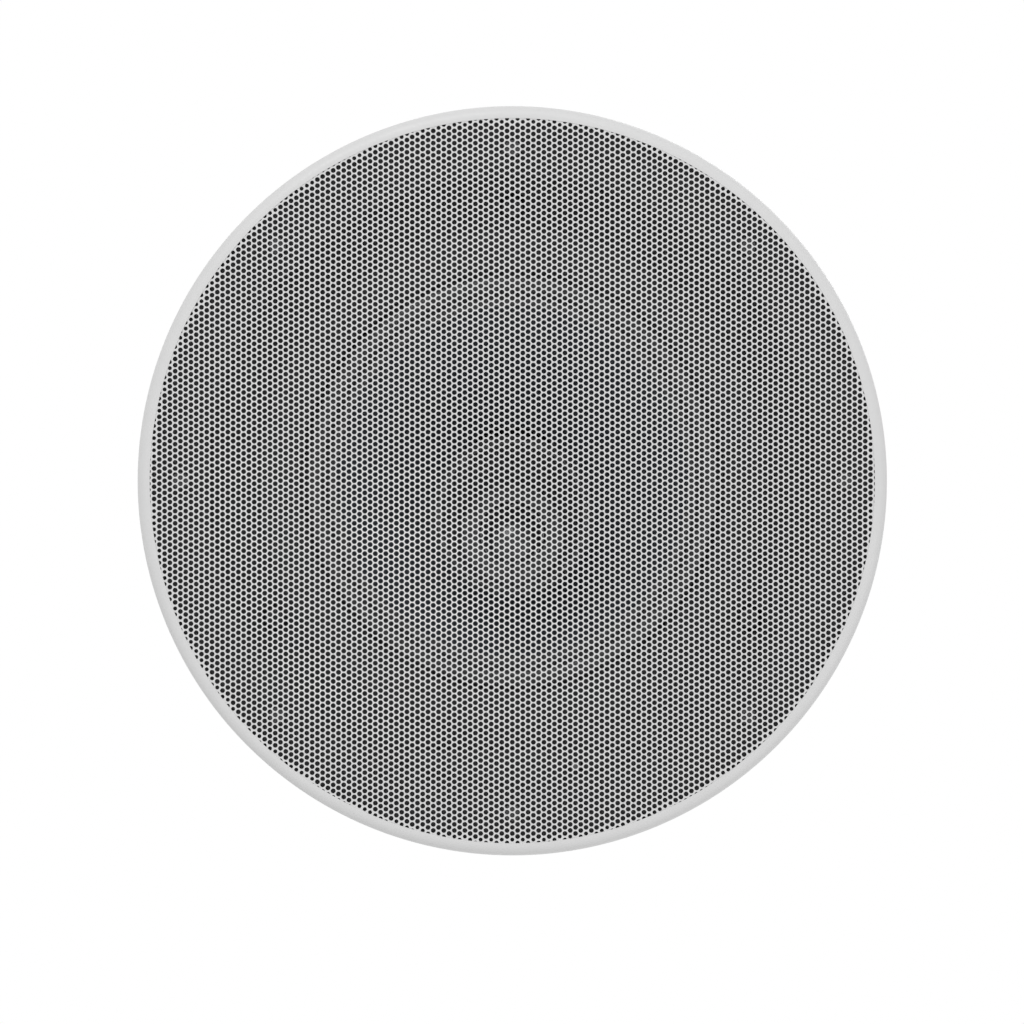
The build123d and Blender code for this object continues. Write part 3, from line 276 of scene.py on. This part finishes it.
def turned(outline, steps):
    """Points and faces of a closed outline of (radius, height) points turned about Z.

    Faces look outwards where the outline runs anticlockwise.
    """
    points, faces, count = [], [], len(outline)
    for i in range(steps):
        a = tau * i / steps
        points += [(r * cos(a), r * sin(a), z) for r, z in outline]
        here, there = i * count, (i + 1) % steps * count
        for k in range(count):
            n = (k + 1) % count
            faces.append((here + k, there + k, there + n, here + n))
    return points, faces


def sleeve(count, sides):
    """Faces between rings of points, each with a number of sides."""
    faces = []
    for i in range(count - 1):
        low, high = i * sides, (i + 1) * sides
        for k in range(sides):
            n = (k + 1) % sides
            faces.append((low + k, low + n, high + n, high + k))
    return faces


# Grille: a fine staggered perforation, with the rolled edge as a piece of its own

PITCH = 2.0
HOLE_R = 0.82
EDGE_HOLE_R = 0.68
EDGE_R = 118.0  # holes are smaller from here outwards
LAST_HOLE_R = 120.1
HOLE_SIDES = 12
HALF_SIDE = 30  # a hole faces each neighbour with its corners up to this angle to both sides
SHEET_T = 0.8
LIP_T = 0.2
LIP_IN_R = 119.2  # the rim's lip covers the perforation from here outwards
LIP_GAP = 0.02  # the fields lie this much behind the lip
FIELD_R = 121.0
FIELD_MARGIN = 1.2  # cells up to this far outside have their corners drawn in to the edge
FIELD_STARTS = (-28, 0, 29)  # first columns of the second, third and fourth field
BEND_R = 3.5
BEND_STEPS = 12
RIM_STEPS = 240
RIM_CREASE = 35
COLUMN_STEP = PITCH * sqrt(3) / 2
grille_low, grille_high = corners("grille")


def corner_at(direction):
    """Number of the corner of a hole that lies in a direction, in degrees."""
    return round(direction / 360 * HOLE_SIDES) % HOLE_SIDES


def hole_grid(first_column, last_column):
    """First point of each cell, the cells that are open, and the corners of all, front before back."""
    rows = int(FIELD_R / PITCH) + 2
    turns = [tau * k / HOLE_SIDES for k in range(HOLE_SIDES)]
    heights = (grille_low.z + LIP_T + LIP_GAP, grille_low.z + SHEET_T)
    at, holed, points = {}, set(), []
    for column in range(first_column, last_column + 1):
        for row in range(-rows, rows + 1):
            x, y = column * COLUMN_STEP, (row + column % 2 / 2) * PITCH
            if hypot(x, y) > FIELD_R + FIELD_MARGIN:
                continue
            cell = (column, 2 * row + column % 2)
            at[cell] = len(points)
            if hypot(x, y) <= LAST_HOLE_R:
                holed.add(cell)
            size = HOLE_R if hypot(x, y) < EDGE_R else EDGE_HOLE_R
            around = [(x + size * cos(a), y + size * sin(a)) for a in turns]
            kept = [(px, py, min(1.0, FIELD_R / hypot(px, py))) for px, py in around]
            points += [(px * s, py * s, z) for z in heights for px, py, s in kept]
    return at, holed, points


def perforated(name, first_column, last_column):
    """Columns of the perforated face, whose last holes run under the rim's lip."""
    at, holed, points = hole_grid(first_column - 1, last_column + 1)
    faces = []

    def both(*spots):
        """One face on the back and its twin on the front, through corners given by cell and direction."""
        front = [at[cell] + corner_at(direction) for cell, direction in spots]
        faces.append(tuple(i + HOLE_SIDES for i in front))
        faces.append(tuple(reversed(front)))

    for cell, start in at.items():
        column, row = cell
        if not first_column <= column <= last_column:
            continue
        if cell in holed:
            for k in range(HOLE_SIDES):
                n = (k + 1) % HOLE_SIDES
                faces.append((start + n, start + k, start + HOLE_SIDES + k, start + HOLE_SIDES + n))
        else:
            both(*[(cell, 360 * k / HOLE_SIDES) for k in range(HOLE_SIDES)])
        # Neighbours lie at 90, 30 and -30 degrees, and the webs between three holes at 60 and 0
        up, right_up, right_down = (column, row + 2), (column + 1, row + 1), (column + 1, row - 1)
        for other, ahead in ((up, 90), (right_up, 30), (right_down, -30)):
            if other in at:
                for near, far in ((ahead - HALF_SIDE, ahead), (ahead, ahead + HALF_SIDE)):
                    back, back_far = 2 * ahead + 180 - near, 2 * ahead + 180 - far
                    both((cell, near), (other, back), (other, back_far), (cell, far))
        if up in at and right_up in at:
            both((cell, 60), (right_up, 180), (up, 300))
        if right_up in at and right_down in at:
            both((cell, 0), (right_down, 120), (right_up, 240))
    made = piece(name, points, faces, "grille_paint", "grille")
    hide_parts("grille")


columns = int(FIELD_R / COLUMN_STEP) + 1
starts = (-columns, *FIELD_STARTS, columns + 1)
for number, (first, after) in enumerate(zip(starts, starts[1:]), 1):
    perforated(f"grille_field_{number}", first, after - 1)

bend_r = grille_high.x - BEND_R
bend_z = grille_low.z + BEND_R
edge = arc(bend_r, bend_z, BEND_R, -90, 0, BEND_STEPS)
edge += [(grille_high.x, grille_high.z), (grille_high.x - SHEET_T, grille_high.z)]
edge += arc(bend_r, bend_z, BEND_R - SHEET_T, 0, -90, BEND_STEPS)
edge += [(r, grille_low.z + z) for r, z in ((bend_r, LIP_T), (LIP_IN_R, LIP_T), (LIP_IN_R, 0))]
points, faces = turned(edge, RIM_STEPS)
rim = piece("grille_rim", points, faces, "grille_paint", "grille", RIM_CREASE)
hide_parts("grille")


# Rubber surround and cloth spider between the basket and the cone

SOFT_CREASE = 40


def flexed(name, outline, steps, slot, node):
    """Turned soft ring that takes the place of a node, riding on no body."""
    points, faces = turned(outline, steps)
    made = piece(name, points, faces, slot, None, SOFT_CREASE)
    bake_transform(made)
    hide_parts(node)


RUBBER_T = 0.8
OUTER_LAND = 4.0
INNER_LAND = 3.5
ROLL_STEPS = 24
SURROUND_STEPS = 144
surround_low, surround_high = corners("woofer_surround")
land_z = surround_high.z - RUBBER_T / 2
roll_h = land_z - surround_low.z - RUBBER_T / 2
roll_out = surround_high.x - OUTER_LAND
roll_r = roll_out - roll_h
roll_in = roll_r - roll_h
land_in = roll_in - INNER_LAND
front_z, back_z = land_z - RUBBER_T / 2, surround_high.z
roll = arc(roll_r, land_z, roll_h - RUBBER_T / 2, 360, 180, ROLL_STEPS)
roll += [(land_in, back_z), (land_in, front_z)]
roll += arc(roll_r, land_z, roll_h + RUBBER_T / 2, 180, 360, ROLL_STEPS)
roll += [(surround_high.x, front_z), (surround_high.x, back_z)]
flexed("surround_roll", roll, SURROUND_STEPS, "surround_rubber", "woofer_surround")

SPIDER_IN = 19.4
SPIDER_LAND = 9.2
CLOTH_T = 0.6
WAVE_H = 1.5
WAVES = 3
WAVE_STEPS = 24
SPIDER_STEPS = 120
spider_low, spider_high = corners("woofer_spider")
spider_out = spider_high.x - SPIDER_LAND
spider_w = spider_out - SPIDER_IN
spider_z = (spider_low.z + spider_high.z) / 2
shares = [i / (WAVES * WAVE_STEPS) for i in range(WAVES * WAVE_STEPS + 1)]
line = [(SPIDER_IN + spider_w * s, spider_z - WAVE_H * sin(WAVES * tau * s)) for s in shares]
line.append((spider_high.x, spider_z))
spider = [(r, z - CLOTH_T / 2) for r, z in line] + [(r, z + CLOTH_T / 2) for r, z in reversed(line)]
flexed("spider_waves", spider, SPIDER_STEPS, "spider_cloth", "woofer_spider")


# Clamp screws: cross-recessed pan heads and coarse threads

SCREW_R = 2.0
ROOT_R = 1.55
TIP_R = 1.0
THREAD_PITCH = 2.0
RIDGE_SHARE = 0.3  # half of a ridge's width, as a share of the pitch
HEAD_H = 2.6
HEAD_ROUND = 1.3
HEAD_STEPS = 6
NECK_L = 1.0  # plain neck under the head
RUN_IN = 0.5  # from the neck to the start of the thread
TIP_L = 2.0
CROSS_L, CROSS_W, CROSS_DEPTH = 2.0, 0.45, 1.2  # an arm's length, half its width and its depth
QUARTERS = 4
SCREW_SIDES = 24
RINGS_PER_TURN = 10
SCREW_CREASE = 50
screw_low, screw_high = corners("clamp_screw_1")
head_r = (screw_high.x - screw_low.x) / 2
head_z = screw_low.z
seat_z = head_z + HEAD_H
thread_z = seat_z + NECK_L + RUN_IN
tip_z = screw_high.z - TIP_L


def thread_r(height, angle):
    """Radius of the threaded shank at a height and an angle."""
    phase = (height / THREAD_PITCH - angle / tau) % 1.0
    ridge = max(0.0, 1.0 - abs(phase - 0.5) / RIDGE_SHARE)
    fade = min(1.0, (height - thread_z) / THREAD_PITCH, (screw_high.z - height) / THREAD_PITCH)
    return ROOT_R + (SCREW_R - ROOT_R) * ridge * max(0.0, fade)


def screw_rings():
    """Rings of points from the rim of the recessed face up to the tip."""
    angles = [tau * k / SCREW_SIDES for k in range(SCREW_SIDES)]
    outline = arc(head_r - HEAD_ROUND, head_z + HEAD_ROUND, HEAD_ROUND, -90, 0, HEAD_STEPS)
    outline += [(head_r, seat_z), (SCREW_R, seat_z), (SCREW_R, seat_z + NECK_L)]
    rings = [[(r * cos(a), r * sin(a), z) for a in angles] for r, z in outline]
    rows = int((tip_z - thread_z) / THREAD_PITCH * RINGS_PER_TURN)
    for i in range(rows + 1):
        z = thread_z + (tip_z - thread_z) * i / rows
        radii = [thread_r(z, a) for a in angles]
        rings.append([(r * cos(a), r * sin(a), z) for r, a in zip(radii, angles)])
    rings.append([(TIP_R * cos(a), TIP_R * sin(a), screw_high.z) for a in angles])
    return rings


def screw_mesh():
    """Points and faces of one clamp screw about Z."""
    rings = screw_rings()
    points = [point for ring in rings for point in ring]
    faces = [tuple(range(len(points) - SCREW_SIDES, len(points)))]
    faces += sleeve(len(rings), SCREW_SIDES)
    first = len(points)
    corner = [(CROSS_L, -CROSS_W), (CROSS_L, CROSS_W), (CROSS_W, CROSS_W)]
    turns = [(cos(q * tau / QUARTERS), sin(q * tau / QUARTERS)) for q in range(QUARTERS)]
    cross = [(x * c - y * s, x * s + y * c) for c, s in turns for x, y in corner]
    points += [(x, y, z) for z in (head_z, head_z + CROSS_DEPTH) for x, y in cross]
    count = len(cross)
    for k in range(count):
        n = (k + 1) % count
        faces.append((first + k, first + count + k, first + count + n, first + n))
    faces.append(tuple(first + count + k for k in reversed(range(count))))
    quarter = SCREW_SIDES // QUARTERS
    for q in range(QUARTERS):
        rim_points = [(q * quarter + k) % SCREW_SIDES for k in range(quarter + 1)]
        right, left, inner = [first + len(corner) * q + k for k in range(len(corner))]
        following = first + len(corner) * ((q + 1) % QUARTERS)
        faces.append(tuple(reversed([*rim_points, following, inner, left])))
        faces.append((left, rim_points[0], right))
    return points, faces


screw_points, screw_faces = screw_mesh()
for number in (1, 2, 3):
    low, high = corners(f"clamp_screw_{number}")
    spot = np.array([(low.x + high.x) / 2, (low.y + high.y) / 2, 0])
    screw = piece(f"clamp_thread_{number}", np.array(screw_points) + spot, screw_faces, "black_screw",
                  f"screw_{number}", SCREW_CREASE)
    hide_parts(f"clamp_screw_{number}")


# Crossover coils: single turns of copper wire showing on the windings

BOBBIN_T = 1.2
WIRE_INSET = 1.2  # the wire stays this much inside the flanges
DRUM_R = 5.2
COIL_TURNS = 10
BIG_FLANGE_R = 12.5
SMALL_FLANGE_R = 8.5
SMALL_COIL_H = 9.0
WIRE_STEPS = 6
COIL_STEPS = 72
COIL_CREASE = 45
bobbin_low, bobbin_high = corners("crossover_bobbins")


def wound(name, x, flange_r, height):
    """Winding between a bobbin's flanges, its axis along Y."""
    wire_r = (height - 2 * BOBBIN_T) / COIL_TURNS / 2
    outline = [(DRUM_R, BOBBIN_T)]
    for turn in range(COIL_TURNS):
        middle = BOBBIN_T + wire_r * (2 * turn + 1)
        outline += arc(flange_r - WIRE_INSET - wire_r, middle, wire_r, -90, 90, WIRE_STEPS)
    outline.append((DRUM_R, height - BOBBIN_T))
    points, faces = turned(outline, COIL_STEPS)
    z = bobbin_low.z + flange_r
    laid = [(px + x, bobbin_low.y + pz, z - py) for px, py, pz in points]
    made = piece(name, laid, faces, "copper_wire", "housing", COIL_CREASE)
    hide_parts("crossover_windings")


wound("coil_turns_woofer", bobbin_low.x + BIG_FLANGE_R, BIG_FLANGE_R, bobbin_high.y - bobbin_low.y)
wound("coil_turns_tweeter", bobbin_high.x - SMALL_FLANGE_R, SMALL_FLANGE_R, SMALL_COIL_H)


# Crossover leads: tinned wires bent from the ends of the capacitors and the resistor to the board

LEAD_R = 0.35
LEAD_OUT = 0.5  # radius of the bend
LEAD_SUNK = 0.3  # length inside the part, and inside the board
LEAD_SIDES = 10
LEAD_STEPS = 8
LEAD_CREASE = 40
CAPACITOR_R = 5.0
SMALL_CAPACITOR_R, SMALL_CAPACITOR_L = 4.0, 20.0
UP, ASIDE = Vector((0, 0, 1)), Vector((1, 0, 0))
board_y = corners("crossover_board")[1].y
film_low, film_high = corners("crossover_capacitors")
block_low, block_high = corners("crossover_resistor")


def lead(start, out):
    """Points and faces of a wire that leaves a part's end along out and bends down to the board."""
    across = out.cross(Vector((0, 1, 0)))
    turns = [pi / 2 / LEAD_STEPS * i for i in range(LEAD_STEPS + 1)]
    bend = [(LEAD_OUT * sin(a), LEAD_OUT * (1 - cos(a))) for a in turns]
    path = [start - LEAD_SUNK * out] + [start + a * out - Vector((0, b, 0)) for a, b in bend]
    path.append(Vector((path[-1].x, board_y - LEAD_SUNK, path[-1].z)))
    ring = [tau * k / LEAD_SIDES for k in range(LEAD_SIDES)]
    points = []
    for i, spot in enumerate(path):
        along = (path[min(i + 1, len(path) - 1)] - path[max(i - 1, 0)]).normalized()
        side = across.cross(along)
        points += [spot + LEAD_R * (cos(a) * across + sin(a) * side) for a in ring]
    faces = sleeve(len(path), LEAD_SIDES)
    faces.append(tuple(reversed(range(LEAD_SIDES))))
    faces.append(tuple(range(len(points) - LEAD_SIDES, len(points))))
    return points, faces


big_x, small_x = film_low.x + CAPACITOR_R, film_high.x - SMALL_CAPACITOR_R
big_y, small_y = board_y + CAPACITOR_R, board_y + SMALL_CAPACITOR_R
block_y, block_z = (block_low.y + block_high.y) / 2, (block_low.z + block_high.z) / 2
ends = [
    (Vector((big_x, big_y, film_high.z)), UP),
    (Vector((big_x, big_y, film_low.z)), -UP),
    (Vector((small_x, small_y, film_low.z + SMALL_CAPACITOR_L)), UP),
    (Vector((small_x, small_y, film_low.z)), -UP),
    (Vector((block_low.x, block_y, block_z)), -ASIDE),
    (Vector((block_high.x, block_y, block_z)), ASIDE),
]
lead_points, lead_faces = [], []
for start, out in ends:
    points, faces = lead(start, out)
    lead_faces += [tuple(i + len(lead_points) for i in face) for face in faces]
    lead_points += points
piece("component_leads", lead_points, lead_faces, "zinc_screw", "housing", LEAD_CREASE)


# Studio: soft light from below and from behind, white round about, pale floor far below

AMBIENT = 0.735
FLOOR_Z = -2.6
FLOOR_SIZE = 60
FLOOR_TONE = 0.82
FLOOR_GLOW = 0.2


def lamp(name, spot, target, size, power):
    """Round soft lamp at a spot, aimed at a target."""
    data = bpy.data.lights.new(name, "AREA")
    data.shape = "DISK"
    data.size = size
    data.energy = power
    made = bpy.data.objects.new(name, data)
    scene.collection.objects.link(made)
    made.location = spot
    aim = Vector(target) - Vector(spot)
    made.rotation_euler = aim.to_track_quat("-Z", "Y").to_euler()


def seen(tree):
    """1 for rays from the camera, off a mirror or through glass, which see the background as it is."""
    path = tree.nodes.new("ShaderNodeLightPath")
    direct = maths(tree, "MAXIMUM", path.outputs["Is Camera Ray"], path.outputs["Is Glossy Ray"])
    return maths(tree, "MAXIMUM", direct, path.outputs["Is Transmission Ray"])


lamp("key", spot=(-0.4, -1.3, -1.5), target=(0, 0, 0), size=0.9, power=11.5)
lamp("fill", spot=(1.2, 0.7, -1.3), target=(0, 0, 0), size=1.6, power=4.5)
lamp("back_light", spot=(0.8, -0.9, 1.6), target=(0, 0, 0.04), size=1.2, power=6)

world = bpy.data.worlds.new("studio")
scene.world = world
world.use_nodes = True
sky = world.node_tree
sky.nodes.clear()
choose = sky.nodes.new("ShaderNodeMixShader")
link(sky, seen(sky), choose.inputs["Fac"])
for shader_input, strength in ((1, AMBIENT), (2, 1.0)):
    shade = sky.nodes.new("ShaderNodeBackground")
    shade.inputs["Color"].default_value = WHITE
    shade.inputs["Strength"].default_value = strength
    link(sky, shade.outputs["Background"], choose.inputs[shader_input])
world_out = sky.nodes.new("ShaderNodeOutputWorld")
link(sky, choose.outputs["Shader"], world_out.inputs["Surface"])

floor_look = surface("floor_paint", [FLOOR_TONE] * 3, 0.8, spread=0.02, grain=60, bump=0.02)
tree = floor_look.node_tree
floor_shader = tree.nodes["Principled BSDF"]
floor_shader.inputs["Emission Color"].default_value = WHITE
link(tree, maths(tree, "MULTIPLY", seen(tree), FLOOR_GLOW), floor_shader.inputs["Emission Strength"])
bpy.ops.mesh.primitive_plane_add(size=FLOOR_SIZE, location=(0, 0, FLOOR_Z))
floor = bpy.context.object
floor.name = "floor"
floor.data.materials.append(floor_look)


# Camera: straight up at the grille

DISTANCE = 1.2
WIDTH = 0.3366  # the picture's width at the grille's face
SENSOR_W = 36.0
AXIS_X, AXIS_Y = -0.0001, 0.0103  # beside the part's axis, as the picture's middle is
camera_data = bpy.data.cameras.new("camera")
camera = bpy.data.objects.new("camera", camera_data)
scene.collection.objects.link(camera)
scene.camera = camera
camera_data.sensor_width = SENSOR_W
camera_data.lens = SENSOR_W * DISTANCE / WIDTH
camera_data.clip_end = FLOOR_SIZE
camera.location = (AXIS_X, AXIS_Y, grille_low.z * MM - DISTANCE)
camera.rotation_euler = (pi, 0, 0)

scene.view_settings.view_transform = "Standard"
